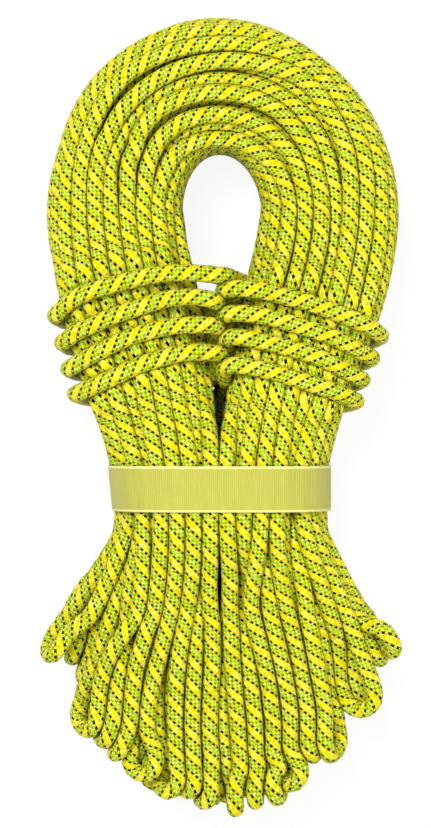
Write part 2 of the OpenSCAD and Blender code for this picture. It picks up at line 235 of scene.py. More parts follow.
# Tips of the bights in the front layer and the one behind it, from the middle outwards: a pixel,
# and the fold's turn from standing to lying. The layers behind follow the same lines, drawn in.
FRONT_TIPS = {
    1: [(235, 815, 0), (256, 810, 0), (276, 806, 0), (292, 792, 32), (311, 765, 0),
        (331, 764, 14), (367, 718, 62), (397, 660, 20)],
    -1: [(208, 810, 0), (190, 799, 0), (166, 799, 40), (140, 782, 45), (118, 763, 0),
         (106, 751, 0), (86, 739, 34), (45, 662, 20)]}
SECOND_TIPS = {
    1: [(220, 805, 0), (246, 799, 0), (266, 796, 0), (287, 782, 0), (303, 764, 0),
        (325, 753, 0), (361, 713, 0), (384, 667, 0)],
    -1: [(216, 803, 0), (199, 795, 0), (157, 792, 30), (131, 771, 0), (112, 750, 0),
         (91, 729, 0), (82, 686, 0), (69, 666, 0)]}
BIGHT_R = 8.8  # radius of a bight's fold, to the rope's middle
LAYER_Z = [74, 58, 41, 25]  # height of each layer of bights, from the front to the back
PER_LAYER = 8
DRAWN_IN, SHORTER, UNEVEN = 0.97, (12, 34), 2  # how the two back layers' tips differ


def plan_bights():
    """The fold after each pass, front ones first: its tip, height and turn."""
    plan = {}
    for side in (-1, 1):
        mine = [k for k in range(PASSES - 1) if (k % 2 == 0) == (side > 0)]
        row = {k: (SLOTS[k][1] + SLOTS[k + 1][1]) / 2 for k in mine}
        column = {k: (SLOTS[k][0] + SLOTS[k + 1][0]) / 2 for k in mine}
        mine.sort(key=lambda k: (-row[k], -(column[k] % 2), column[k]))
        for layer, z in enumerate(LAYER_Z):
            last = len(mine) if layer == len(LAYER_Z) - 1 else (layer + 1) * PER_LAYER
            group = sorted(mine[layer * PER_LAYER:last], key=lambda k: column[k])
            tips = np.array((SECOND_TIPS if layer % 2 else FRONT_TIPS)[side], float)
            for i, k in enumerate(group):
                at = i * (len(tips) - 1) / (len(group) - 1)
                x, y, turn = [np.interp(at, range(len(tips)), tips[:, j]) for j in range(3)]
                x, y = at_pixel(x, y, z)
                z_tip = z
                if layer > 1:
                    x, y, turn = x * DRAWN_IN, y + rng.uniform(*SHORTER), 0
                    z_tip += rng.uniform(-UNEVEN, UNEVEN)
                plan[k] = (x, y, z_tip, turn)
    return plan


BIGHTS = plan_bights()
FOLD_LONG, FOLD_MOUTH = 30, 0.85  # where a fold begins behind its tip, and its half height there
FOLD_CUT = 0.15  # angle at which its round end begins


def bight(k, before, after):
    """The fold that joins pass k to the next one."""
    x, y, middle, turn = BIGHTS[k]
    root = (before + after)[:2] / 2
    way = np.array([x, y]) - root
    reach = np.linalg.norm(way)
    way /= reach
    beside = np.array([-way[1], way[0]])
    turn = math.radians(turn)
    # the strand that starts nearer the front stays in front, and a lying fold keeps its sides
    rise = 1 if after[2] > before[2] else -1
    spread = 1 if (after - before)[:2] @ beside > 0 else -1
    tip = np.array([x, y]) - way * ROPE_R
    height = BIGHT_R * math.cos(turn) * rise
    breadth = BIGHT_R * math.sin(turn) * spread
    points = []

    def at(back, across):
        """A point some way back from the tip; across goes from -1 to 1 over the fold."""
        points.append([*(tip - way * back + beside * breadth * across), middle + height * across])

    at(FOLD_LONG, -FOLD_MOUTH)
    for a in np.linspace(FOLD_CUT, np.pi - FOLD_CUT, 5):
        at(BIGHT_R * (1 - math.sin(a)), -math.cos(a))
    at(FOLD_LONG, FOLD_MOUTH)
    return points


# The lashing over the front of each leg, from outside inwards, as pixels
TURNS = [
    [(56.6, 316), (68, 302), (88, 292), (108, 286), (131, 280), (149, 276), (173, 273),
     (197, 273), (215, 275), (229, 279)],
    [(379.5, 336), (372, 328), (357, 321), (339, 314), (321, 307), (303, 301), (286, 297),
     (268, 292), (250, 289), (233, 288), (223, 289)],
    [(64, 343), (76, 332), (97, 323), (118, 314), (137, 308), (155, 302), (173, 298),
     (197, 297), (212, 300), (219, 303)],
    [(370.5, 358), (357, 349), (339, 340), (321, 333), (303, 327), (286, 322), (268, 317),
     (250, 314), (233, 313), (223, 314)],
    [(70, 369), (88, 357), (108, 347), (127, 338), (147, 332), (167, 327), (191, 325),
     (209, 325), (219, 328)],
    [(361, 380), (345, 370), (327, 361), (309, 354), (292, 349), (274, 344), (256, 340),
     (239, 337), (225, 338)],
    [(77, 394), (98, 384), (118, 375), (137, 366), (156, 360), (177, 354), (197, 352),
     (214, 353), (221, 356)],
    [(355, 401), (339, 393), (321, 387), (303, 381), (286, 376), (268, 371), (250, 367),
     (233, 365), (223, 367)]]
CROSSING_Y = [81, 66.5, 57.5, 48.5, 39.5, 30, 21.5, 18]  # of each half turn, inside the gap
CROSSING_X = [4, 9, 4, 4, 4, 4, 4, 4]  # and how far it keeps to its own leg
LASHING_Z = 108.5
EDGE_DROP, DIP, DIVE = 5.5, 3.0, 12.0  # how far a turn lies under that at its ends
# Its way up a leg's side: how far inside and below its first pixel, height and firmness
UP_THE_SIDE = [(5, 2, 22, 0.05), (0, 0.5, 45, 0.1), (0, 0, 78, 0.2), (1.5, -0.5, 95, 0.3)]
CROSSING_Z = (78, 54, 28, 8)  # its way down between the legs
BACK_X, BACK_Z = 10, 5.0  # where it comes out behind them
# How firmly the solver holds the rope's ends, folds, and lashing in front, between and behind
ROUTE_HOLD, FOLD_HOLD, FRONT_HOLD, BETWEEN_HOLD, BACK_HOLD = 0.2, 0.08, 0.35, 0.08, 0.04
START_ROUTE = [(-88, 131, 22), (-89, 112, 14), (-85, 94, 8), (-77, 80, 6.5), (-66, 70, 5.2),
               (-68, 61, 5.2), (-80, 56, 7)]
TAIL_X, TAIL_Z = 26, 6  # where the free ends lie
SEAM_Y = -98  # where a free end's own mesh takes over from the hank's
TAIL_ROUTE = [(TAIL_X, -72, 8.2), (TAIL_X, -84, 6.4), (TAIL_X, -94, TAIL_Z), (TAIL_X, SEAM_Y, TAIL_Z)]
FINISH_ROUTE = [(0.5, 13, 34), (0, 8, 16), (0, 2, 8), (0, -8, 6.6), (1, -20, 7.2), (10, -42, 7.9),
                (24, -60, 8.9)] + TAIL_ROUTE
FIRST_ROUTE = [(-x, y, z) for x, y, z in TAIL_ROUTE[::-1]] + [(-20, -56, 8.8)]


def lashing_points():
    """Points of the lashing, each with how firmly the solver holds it in place."""
    out = [(p, 0.03) for p in START_ROUTE]
    for n, turn in enumerate(TURNS):
        side = -1 if n % 2 == 0 else 1
        xo, yo = at_pixel(*turn[0], 66)
        for inside, below, z, firmness in UP_THE_SIDE:
            out.append(((side * (abs(xo) - inside), yo - below, z), firmness))
        last = len(turn) - 1
        for i, pixel in enumerate(turn[1:], 1):
            x, y = at_pixel(*pixel, LASHING_Z)
            drop = {1: EDGE_DROP, last - 1: DIP, last: DIVE}.get(i, 0.0)
            out.append(((x, y, LASHING_Z - drop), FRONT_HOLD))
        xm, ym = side * CROSSING_X[n], CROSSING_Y[n]
        between = [(xm, (3 * ym + y) / 4, CROSSING_Z[0]), (xm + side, ym, CROSSING_Z[1])]
        out += [(p, BETWEEN_HOLD) for p in between]
        if n == len(TURNS) - 1:
            break
        # behind the hank to the outer side of the other leg
        nx, ny = at_pixel(*TURNS[n + 1][0], LASHING_Z)
        back = [(0, ym - 1, CROSSING_Z[2]), (-side * BACK_X, ym - 1.5, CROSSING_Z[3])]
        for f in (0.3, 0.55, 0.8):
            x = -side * (BACK_X + f * (abs(nx) - 18))
            back.append((x, ym - 1.5 + f * (ny - 5 - ym), BACK_Z))
        out += [(p, BACK_HOLD) for p in back]
    return out + [(p, ROUTE_HOLD) for p in FINISH_ROUTE]


def whole_route():
    """The rope's route: its points, how firmly each is held, its part (0 pass, 1 lashing, 2 fold)
    and its column if it is a front strand, or else -1."""
    rows = []

    def add(new, firmness, kind, column=-1):
        rows.extend((*p, firmness, kind, column) for p in new)

    passes = [pass_points(k) for k in range(PASSES)]
    add(FIRST_ROUTE, ROUTE_HOLD, 0)
    for k in range(PASSES):
        way = passes[k][2:] if k == 0 else passes[k]
        way = way[::-1] if k % 2 else way
        if k == PASSES - 1:
            add(way[:-HALF_PASS], 0.0, 0)
            break
        add(way, 0.0, 0, SLOTS[k][0] if SLOTS[k][1] == ROWS - 1 else -1)
        end = 0 if k % 2 else -1
        fold = bight(k, passes[k][end], passes[k + 1][end])
        add(fold[:1], 0.0, 0)
        add(fold[1:-1], FOLD_HOLD, 2)
        add(fold[-1:], 0.0, 0)
    for p, firmness in lashing_points():
        add([p], firmness, 1)
    rows = np.array(rows)
    return rows[:, :3], rows[:, 3], rows[:, 4].astype(int), rows[:, 5].astype(int)


def smooth_curve(P, labels, step):
    """A centripetal curve through P, sampled at an even step, with each label carried along."""
    n = len(P)
    ends = np.vstack([2 * P[0] - P[1], P, 2 * P[-1] - P[-2]])
    seg = np.maximum(np.linalg.norm(np.diff(ends, axis=0), axis=1), 1e-3) ** 0.5
    a, b, c = seg[:-2, None], seg[1:-1, None], seg[2:, None]
    p0, p1, p2, p3 = ends[:-3], ends[1:-2], ends[2:-1], ends[3:]
    m1 = ((p2 - p1) / b - (p2 - p0) / (a + b) + (p1 - p0) / a) * b
    m2 = ((p3 - p2) / c - (p3 - p1) / (b + c) + (p2 - p1) / b) * b
    parts = 12
    t = np.linspace(0, 1, parts, endpoint=False)[None, :, None]
    dense = ((2*t**3 - 3*t**2 + 1) * p1[:, None] + (t**3 - 2*t**2 + t) * m1[:, None]
             + (3*t**2 - 2*t**3) * p2[:, None] + (t**3 - t**2) * m2[:, None]).reshape(-1, 3)
    dense = np.vstack([dense, P[-1]])
    s = lengths_along(dense)
    at = np.linspace(0, s[-1], int(round(s[-1] / step)) + 1)
    out = points_at(at, s, dense)
    index = np.clip(np.searchsorted(s, at) - 1, 0, len(s) - 2)
    nearest = np.minimum(index // parts + (index % parts >= parts / 2), n - 1)
    return out, [label[nearest] for label in labels]


# ---- the packing solver

FULL_ROUNDS, QUICK_ROUNDS = 300, 120
LIST_ROUNDS = 10  # rounds for which one list of near points serves
LIST_REACH = 3.0  # how much further apart than touching its points may be
FIRST_SIZE, GROWTH = 0.7, 0.6  # the strands start this thin and grow to their full thickness
SOFT, SQUEEZED = 0.02, 0.10  # share of its thickness that a hidden strand gives; more in the waist
TURN_WEIGHT = 0.25  # how easily the lashing moves, beside the passes
CROWDING = 1.6  # so many pushes on a point still add up
FOUR_STEPS = 16.4  # least distance between points four steps apart, which limits bends
FORM_PULL = 0.6  # share of the way back into the form that a strand goes in a round
LEAD_Y = 90  # the lashing keeps to the form only above this, where it leaves the crown
SQUEEZED_Y, SQUEEZED_FADE = (-95, 40), 20  # stretch of the waist, and its soft ends
HIDDEN_FROM, HIDDEN_FADE = 9, 6  # depth under the front from which a strand is hidden
EVEN_LONG = 0.6  # how strongly longer stretches of a pass are straightened
LENGTH_FIX, BEND_FIX = 0.4, 0.25  # share of a wrong length or bend that a round puts right
GAP_PUSH, GAP_FIX = 3, 0.5  # longest push by a dark line, and its share in a round
END_POINTS = 7  # points that stay in place at each end of the rope
PRESSED_Y, PRESSED_FADE = (-76, -10), 10  # stretch that the band presses, and its soft ends
SUNKEN_DROP = 6.0  # how far the sunken strands lie under the band
BAND_PULL = 0.25  # share of the way to the band that the front strands go in a round


def near_pairs(X, reach):
    """Pairs of points closer than reach, but not neighbours along the rope."""
    cell = np.floor(X / reach).astype(np.int64)
    cell -= cell.min(0) - 1
    dims = cell.max(0) + 3
    key = (cell[:, 0] * dims[1] + cell[:, 1]) * dims[2] + cell[:, 2]
    order = np.argsort(key, kind="stable")
    key = key[order]
    found = []
    for dx, dy, dz in np.ndindex(3, 3, 3):
        off = ((dx - 1) * dims[1] + dy - 1) * dims[2] + dz - 1
        if off < 0:
            continue
        low = np.searchsorted(key, key + off, "left")
        count = np.searchsorted(key, key + off, "right") - low
        a = np.repeat(np.arange(len(X)), count)
        start = np.repeat(low + count - np.cumsum(count), count)
        i, j = order[a], order[start + np.arange(count.sum())]
        pair = np.stack([i, j], 1)
        found.append(pair[i < j] if off == 0 else pair)
    pairs = np.vstack(found)
    pairs = pairs[np.abs(pairs[:, 0] - pairs[:, 1]) > 3]
    gap = X[pairs[:, 0]] - X[pairs[:, 1]]
    return pairs[np.einsum("ij,ij->i", gap, gap) < reach * reach].T


def bumps(a, parts):
    """How far bumps and dents move the crown's outside at the angles a."""
    return sum(size * np.exp(-((a - at) / breadth) ** 2) for size, at, breadth in parts)


def keep_inside(X, lashing, held):
    """Pushes the strands back into the hank's form."""
    x, y, z = X[:, 0].copy(), X[:, 1].copy(), X[:, 2].copy()
    side = np.where(x < 0, -1, 1)
    gap, out = edges(y, side)
    drawn = THROAT_SHARE + (1 - THROAT_SHARE) * share(z - THROAT_Z, THROAT_RISE)
    gap = gap * np.where((y < THROAT_Y[1]) & (y > THROAT_Y[0]), drawn, 1)
    crown, joined = y > CROWN_Y, y < 0
    yy = np.maximum(y - CROWN_Y, 0)
    rho = np.maximum(np.hypot(x, yy), 1e-6)
    a = np.arctan2(yy, np.abs(x))
    inner = EYE[0] * EYE[1] / np.hypot(EYE[1] * np.cos(a), EYE[0] * np.sin(a))
    outer = CROWN[0] * CROWN[1] / np.hypot(CROWN[1] * np.cos(a), CROWN[0] * np.sin(a))
    inner += np.where(x > 0, *EYE_SHIFT) * np.cos(a)
    outer += np.where(x > 0, *(bumps(a, parts) for parts in CROWN_BUMPS))
    pos = np.where(crown, rho, np.where(joined, x, np.abs(x)))
    low = np.where(crown, inner, np.where(joined, -edges(y, -1)[1], gap))
    high = np.where(crown, outer, np.where(joined, edges(y, 1)[1], out))
    z_low, z_high = heights(y)
    mid, half = (low + high) / 2, (high - low) / 2 - ROPE_R
    z_mid, z_half = (z_low + z_high) / 2, (z_high - z_low) / 2 - ROPE_R
    power = np.interp(y, WAIST_Y, [SECTION_POWER, WAIST_POWER, WAIST_POWER, SECTION_POWER])
    f = (np.abs((pos - mid) / half) ** power + np.abs((z - z_mid) / z_half) ** power) ** (1 / power)
    outside = (f > 1) & (y > FORM_END_Y) & (~lashing | (y > LEAD_Y))
    back = FORM_PULL * (1 / np.maximum(f, 1e-6) - 1)
    pos = pos + back * (pos - mid)
    new_x = np.where(crown, x * pos / rho, np.where(joined, pos, side * pos))
    X[:, 0] = np.where(outside, new_x, x)
    X[:, 1] = np.where(outside & crown, CROWN_Y + yy * pos / rho, y)
    z = np.where(outside, z + back * (z - z_mid), z)
    # the strands part in the middle of the fan's front
    split = (z > SPLIT_Z) & (y < SPLIT_Y[1]) & (y > SPLIT_Y[0])
    least = ROPE_R + SPLIT_HALF * np.exp(-((y - SPLIT_AT) / SPLIT_LONG) ** 2)
    X[:, 0] = np.where(split & (np.abs(X[:, 0]) < least), side * least, X[:, 0])
    # the ground, the room for the free ends under the bights, and the fan's front
    over_ends = share(ENDS_X[0] - np.abs(X[:, 0]), ENDS_X[1]) * share(ENDS_Y[0] - X[:, 1], ENDS_Y[1])
    z = np.maximum(z, np.where(held > ROUTE_HOLD - 0.01, ROPE_R, ROPE_R + ENDS_ROOM * over_ends))
    X[:, 2] = np.where(lashing, z, np.minimum(z, z_high - ROPE_R))


def press_to_band(X, front, drop):
    """Draws the front strands up against the band's inside; drop is how far each lies under it."""
    x, y, z = X[front].T
    under_band = share(y - PRESSED_Y[0], PRESSED_FADE) * share(PRESSED_Y[1] - y, PRESSED_FADE)
    low, high = heights(y)
    out = edges(y, np.where(x < 0, -1, 1))[1] - ROPE_R
    arch = (1 - np.minimum(np.abs(x) / out, 0.98) ** WAIST_POWER) ** (1 / WAIST_POWER)
    top = (low + high) / 2 + ((high - low) / 2 - ROPE_R) * arch
    X[front, 2] += BAND_PULL * under_band * (top - drop - z)


def plan_gaps():
    """The dark lines as points, with outward normals, half widths and the columns inside them."""
    lines = []
    for columns, half, pixels in FRONT_GAPS:
        P = np.array([at_pixel(*pixel, CROWN_DEPTH) for pixel in pixels])
        s = lengths_along(P)
        at = np.linspace(0, s[-1], int(s[-1] / 4))
        P = points_at(at, s, P)
        step = np.gradient(P, axis=0)
        normal = np.stack([-step[:, 1], step[:, 0]], 1) / np.linalg.norm(step, axis=1)[:, None]
        normal *= np.sign((normal * (P - [0, CROWN_Y - 40])).sum(1))[:, None]
        width = half * np.sin(np.pi * at / s[-1]) ** 0.5
        lines.append((P, normal, width, columns))
    return lines


def part_front(X, lane, lines):
    """Keeps the front strands on their own sides of the dark lines."""
    for P, normal, width, columns in lines:
        low, high = P.min(0) - ROPE_D, P.max(0) + ROPE_D
        mine = np.flatnonzero((lane >= 0) & (X[:, 0] > low[0]) & (X[:, 0] < high[0])
                              & (X[:, 1] > low[1]) & (X[:, 1] < high[1]))
        gap = X[mine, None, :2] - P
        nearest = (gap ** 2).sum(2).argmin(1)
        sign = np.where(lane[mine] < columns, -1, 1)
        off = sign * (gap[np.arange(len(mine)), nearest] * normal[nearest]).sum(1)
        inside = (nearest > 0) & (nearest < len(P) - 1)
        push = np.clip(ROPE_R + width[nearest] - off, 0, GAP_PUSH) * inside * GAP_FIX
        X[mine, :2] += (push * sign)[:, None] * normal[nearest]


def straight_runs(part, reach):
    """Points whose neighbours as far as reach are all in a pass."""
    inside = np.convolve(part != 0, np.ones(2 * reach + 1), "same") == 0
    inside[:reach] = inside[-reach:] = False
    return np.flatnonzero(inside)


def give(X):
    """The share of its thickness that each strand gives, most where band and lashing squeeze it."""
    y = X[:, 1]
    waist = share(SQUEEZED_Y[1] - y, SQUEEZED_FADE) * share(y - SQUEEZED_Y[0], SQUEEZED_FADE)
    deep = share(heights(y)[1] - X[:, 2] - HIDDEN_FROM, HIDDEN_FADE)
    return (SOFT + SQUEEZED * waist) * deep


def push_apart(X, near, weight, size):
    """Moves overlapping strands off each other, each by its weight."""
    n = len(X)
    I, J = near
    both = np.maximum(weight[I] + weight[J], 1e-9)
    gap = X[I] - X[J]
    dist = np.sqrt(np.einsum("ij,ij->i", gap, gap)) + 1e-9
    room = 1 - give(X)
    overlap = size * (room[I] + room[J]) / 2 - dist
    m = overlap > 0
    i, j = I[m], J[m]
    wi, wj = weight[i] / both[m], weight[j] / both[m]
    push = (overlap[m] / dist[m])[:, None] * gap[m]
    count = np.bincount(i, minlength=n) + np.bincount(j, minlength=n)
    moved = np.stack([np.bincount(i, push[:, q] * wi, n) - np.bincount(j, push[:, q] * wj, n)
                      for q in range(3)], 1)
    X += moved * (CROWDING / np.maximum(count, CROWDING))[:, None]


def straighten(X, runs, free, strength):
    """Bends spread out evenly, near each point and, in the passes, over longer stretches."""
    fair = (-X[:-4] + 4 * X[1:-3] - 6 * X[2:-2] + 4 * X[3:-1] - X[4:]) / 16
    X[2:-2] += free[2:-2] * fair * strength
    for k, run in runs:
        X[run] += EVEN_LONG * (-X[run - 2 * k] + 4 * X[run - k] - 6 * X[run] + 4 * X[run + k]
                               - X[run + 2 * k]) / 16


def keep_lengths(X, rest, free):
    """The rope keeps its length, and its folds stay round."""
    for start in (0, 1):
        a = np.arange(start, len(X) - 1, 2)
        seg = X[a + 1] - X[a]
        length = np.linalg.norm(seg, axis=1)
        fix = (LENGTH_FIX * (length - rest[a]) / length)[:, None] * seg
        X[a] += fix * free[a]
        X[a + 1] -= fix * free[a + 1]
    span = X[4:] - X[:-4]
    length = np.linalg.norm(span, axis=1)
    fix = (np.maximum(FOUR_STEPS - length, 0) / length * BEND_FIX)[:, None] * span
    X[4:] += fix * free[4:]
    X[:-4] -= fix * free[:-4]


def pack_rope(X, hold, part, lane, rounds):
    """Moves the points until the strands lie beside each other like real ones."""
    lines = plan_gaps()
    lashing = part == 1
    runs = [(k, straight_runs(part, 2 * k)) for k in (2, 4)]
    fixed = np.zeros(len(X), bool)
    fixed[:END_POINTS] = fixed[-END_POINTS:] = True
    anchor = X.copy()
    weight = np.where(fixed, 0.0, np.where(lashing, TURN_WEIGHT, 1.0))
    free = (~fixed)[:, None]
    rest = np.linalg.norm(np.diff(X, axis=0), axis=1)
    front = np.flatnonzero(lane >= 0)
    drop = np.where(np.isin(lane[front], SUNKEN), SUNKEN_DROP, 0.0)
    for turn in range(rounds):
        if turn % LIST_ROUNDS == 0:
            near = near_pairs(X, ROPE_D + LIST_REACH)
        grown = min(1.0, FIRST_SIZE + GROWTH * turn / rounds)
        push_apart(X, near, weight, ROPE_D * grown)
        straighten(X, runs, free, 1.0 if turn < 0.6 * rounds else 0.5)
        keep_lengths(X, rest, free)
        X += hold[:, None] * (anchor - X) * free
        keep_inside(X, lashing, hold)
        part_front(X, lane, lines)
        press_to_band(X, front, drop)
        X[fixed] = anchor[fixed]
    return X


route, hold, part, lane = whole_route()
centre, (hold, part, lane) = smooth_curve(route, [hold, part, lane], STEP)
centre = pack_rope(centre, hold, part, lane, FULL_ROUNDS)

# ---- materials


class Nodes:
    """Short calls for building the node tree of a material or the world."""

    def __init__(self, owner, output="ShaderNodeOutputMaterial"):
        owner.use_nodes = True
        self.owner, self.tree = owner, owner.node_tree
        self.tree.nodes.clear()
        self.out = self.node(output)

    def node(self, kind, inputs=None, **settings):
        made = self.tree.nodes.new(kind)
        for key, value in settings.items():
            setattr(made, key, value)
        for key, value in (inputs or {}).items():
            self.put(made.inputs[key], value)
        return made

    def put(self, socket, value):
        if isinstance(value, bpy.types.NodeSocket):
            self.tree.links.new(value, socket)
        else:
            socket.default_value = value

    def math(self, operation, *values, clamp=False):
        made = self.node("ShaderNodeMath", operation=operation, use_clamp=clamp)
        for i, v in enumerate(values):
            self.put(made.inputs[i], v)
        return made.outputs[0]

    def plus(self, a, b):
        return self.math("ADD", a, b)

    def minus(self, a, b, clamp=False):
        return self.math("SUBTRACT", a, b, clamp=clamp)

    def times(self, a, b, clamp=False):
        return self.math("MULTIPLY", a, b, clamp=clamp)

    def mix(self, factor, a, b, mode="MIX"):
        made = self.node("ShaderNodeMix", data_type="RGBA", blend_type=mode)
        self.put(made.inputs[0], factor)
        self.put(made.inputs[6], a)
        self.put(made.inputs[7], b)
        return made.outputs[2]

    def blend(self, factor, a, b):
        """A number between a and b."""
        return self.plus(a, self.times(factor, self.minus(b, a)))

    def noise(self, scale, detail=2.0, **more):
        made = self.node("ShaderNodeTexNoise", {"Scale": scale, "Detail": detail, **more})
        return made.outputs["Fac"]

    def map_xy(self, name):
        """The two coordinates of a mesh's map."""
        uv = self.node("ShaderNodeUVMap", uv_map=name).outputs["UV"]
        return self.node("ShaderNodeSeparateXYZ", {0: uv}).outputs[:2]

    def finish(self, color, rough, height, bump, distance, **sockets):
        """The material, from its colour, roughness and relief."""
        relief = self.node("ShaderNodeBump",
                           {"Height": height, "Strength": bump, "Distance": distance})
        shader = self.node("ShaderNodeBsdfPrincipled", {
            "Base Color": color, "Roughness": rough, "Normal": relief.outputs["Normal"]})
        for key, value in sockets.items():
            self.put(shader.inputs[key.replace("_", " ")], value)
        return self.show(shader)

    def show(self, shader):
        self.put(self.out.inputs["Surface"], shader.outputs[0])
        return self.owner


def srgb(*rgb):
    return (*(v / 255 / 12.92 if v <= 10 else ((v / 255 + 0.055) / 1.055) ** 2.4 for v in rgb), 1.0)


YARNS = 24  # yarns that turn each way round the sheath, two to a carrier
BRAID_LAY = 26.4  # length of one turn of a yarn along the rope
PATTERN = 12  # yarns in one repeat: a yellow and a green stripe, a black by each
GREEN_FROM = 5.0  # yarn at which the green stripe starts
BLACK_AT = (5.1, 11.1)  # middles of the black ones, in yarns
BLACK_HALF = 0.85  # and half their width
BLACK_LENGTH = 2.2  # how much longer the ends of the black floats are than the others'
FLOAT_REACH = 0.31  # how far a float's round end covers the next carrier, in carriers
FALL = 0.8  # how much lower a float lies where it ends
NOOK = 3.0  # how near another strand must be for painted shade on the sheath
NOOK_FROM, NOOK_DEPTH = 0.62, 1.8  # openness below which the shade is painted, and how fast it deepens
# the pale lemon and the pale green are painted highlights on the floats' crests
YELLOW, LEMON_HIGHLIGHT, OCHRE = srgb(233, 223, 0), srgb(248, 244, 128), srgb(188, 170, 0)
GREEN, PALE_GREEN_HIGHLIGHT = srgb(54, 140, 0), srgb(176, 230, 84)
BLACK = srgb(1, 2, 2)
# painted shade: the tints that darken the colour in the crevices between yarns and where strands touch
CREVICE_SHADE_TINT = (0.12, 0.12, 0.01, 1)
NOOK_SHADE_TINT = (0.12, 0.1, 0.02, 1)


def sheath_material():
    """Plain braid of doubled yarns: u turns once round the rope, v counts yarns' turns along it."""
    n = Nodes(bpy.data.materials.new("sheath_braid"))
    u, v = n.map_xy("Braid")

    def off_middle(x):
        """From 0 in the middle of a yarn or carrier to 1 at its sides."""
        twice = n.times(n.math("FRACT", x), 2.0)
        return n.math("ABSOLUTE", n.minus(twice, 1.0))

    def reach(x):
        """How far the round end of a float goes, from its middle line to its sides."""
        return n.times(n.minus(1.0, n.times(x, 2.0)), FLOAT_REACH)

    # a and b count the carriers of the two ways; each is on top in every other cell
    a = n.times(n.plus(u, v), YARNS / 2)
    b = n.times(n.minus(u, v), YARNS / 2)
    yarn_a, yarn_b = n.times(a, 2.0), n.times(b, 2.0)
    cell_a, cell_b = n.math("FLOOR", a), n.math("FLOOR", b)
    top = n.math("LESS_THAN", n.math("FLOORED_MODULO", n.plus(cell_a, cell_b), 2.0), 0.5)
    off_a, off_b = off_middle(yarn_a), off_middle(yarn_b)
    mid_a, mid_b = (n.times(off_middle(x), 0.5) for x in (a, b))
    side_a, side_b = (n.minus(0.5, x) for x in (mid_a, mid_b))

    def shows(length):
        """Where the first way's yarns are seen, with round ends that many times as long."""
        return n.blend(top, n.math("LESS_THAN", side_b, n.times(reach(off_a), length)),
                       n.math("GREATER_THAN", side_a, n.math("DIVIDE", reach(off_b), length)))

    seen = shows(1.0)
    across = n.blend(seen, off_b, off_a)
    along = n.blend(seen, n.blend(top, mid_a, n.plus(side_a, 0.5)),
                    n.blend(top, n.plus(side_b, 0.5), mid_b))
    fall = n.math("POWER", n.math("DIVIDE", along, 0.5 + FLOAT_REACH), 3.0)
    across = n.times(across, across)
    round_side = n.math("SQRT", n.minus(1.0, across), clamp=True)
    height = n.times(round_side, n.minus(1.0, n.times(fall, FALL)))
    # painted highlight: a random share of the floats is paler towards its crest; another share is a
    # darker ochre, a tone that differs at random
    number = n.math("FLOOR", n.blend(seen, yarn_b, yarn_a))
    other = n.math("FLOOR", n.times(n.blend(seen, cell_a, cell_b), 0.5))
    cell = n.node("ShaderNodeCombineXYZ", {"X": number, "Y": other, "Z": seen})
    chance = n.node("ShaderNodeTexWhiteNoise", {"Vector": cell.outputs[0]}).outputs["Value"]
    glint = n.times(n.minus(chance, 0.55, clamp=True), 2.0)
    dull = n.times(n.minus(0.3, chance, clamp=True), 2.2)
    yellow = n.mix(n.times(glint, height), YELLOW, LEMON_HIGHLIGHT)
    yellow = n.mix(dull, yellow, OCHRE)
    green = n.mix(n.times(chance, height), GREEN, PALE_GREEN_HIGHLIGHT)
    # the first way's yarns carry the stripes, and the other way's are yellow
    place = n.math("FLOORED_MODULO", yarn_a, float(PATTERN))
    is_green = n.times(seen, n.math("GREATER_THAN", place, GREEN_FROM))
    black_yarns = [n.math("LESS_THAN", n.math("ABSOLUTE", n.minus(place, x)), BLACK_HALF)
                   for x in BLACK_AT]
    is_black = n.times(shows(BLACK_LENGTH), n.plus(*black_yarns))
    color = n.mix(is_black, n.mix(is_green, yellow, green), BLACK)
    # painted shade: the colour is darker between yarns, and where strands touch
    crevice = n.math("POWER", n.minus(1.0, height), 1.7)
    color = n.mix(crevice, color, n.mix(1.0, color, CREVICE_SHADE_TINT, "MULTIPLY"))
    nook = n.node("ShaderNodeAmbientOcclusion", {"Distance": NOOK * MM}, samples=6).outputs["AO"]
    nook = n.minus(NOOK_FROM, nook, clamp=True)
    nook = n.times(nook, NOOK_DEPTH, clamp=True)
    color = n.mix(nook, color, n.mix(1.0, color, NOOK_SHADE_TINT, "MULTIPLY"))
    fibres = n.noise(2600.0)
    relief = n.plus(n.times(height, 0.9), n.times(fibres, 0.18))
    return n.finish(color, 0.5, relief, 1.0, 0.6 * MM, Specular_IOR_Level=0.06)


def plain_material(name, color, dark, rough, scale, bump, **sockets):
    n = Nodes(bpy.data.materials.new(name))
    coarse, fine = n.noise(scale, 4.0), n.noise(scale * 12)
    height = n.plus(coarse, n.times(fine, 0.4))
    return n.finish(n.mix(coarse, color, dark), rough, height, bump, 0.2 * MM, **sockets)


sheath = sheath_material()

# ---- the rope's surface

SURFACE_R = 4.76  # a little under half its thickness: pressed strands are flattened
SIDES = 14
RING_STEP = 3.6
SECTION_COUNT = 26
STRIPS = 8  # strips of a section's map for baking
STRIP_PAD = 0.03  # free share at a strip's sides
SWELL = 4.5  # how far a leg's front strands stand up between the turns
TURN_Z, STRAND_Z = 98, 84  # least heights of a turn's front and of the front strands beside it
SWELL_REACH = 12  # how far past the outermost turns they swell
SWELL_NEAR, SWELL_RISE = 2.5, 5.5  # distance from a turn where they start to, and how fast
SWELL_END, SWELL_FALL = 22, 12  # distance at which they no longer do, and how fast


def rings_along(P):
    """A frame at each point of a line that starts level, with as little turn as possible."""
    tangent = np.gradient(P, axis=0)
    tangent /= np.linalg.norm(tangent, axis=1)[:, None]
    normal = np.zeros_like(P)
    u = np.cross(tangent[0], [0.0, 0.0, 1.0])
    for i, t in enumerate(tangent):
        u = u - t * (u @ t)
        u /= np.linalg.norm(u)
        normal[i] = u
    return normal, np.cross(tangent, normal)


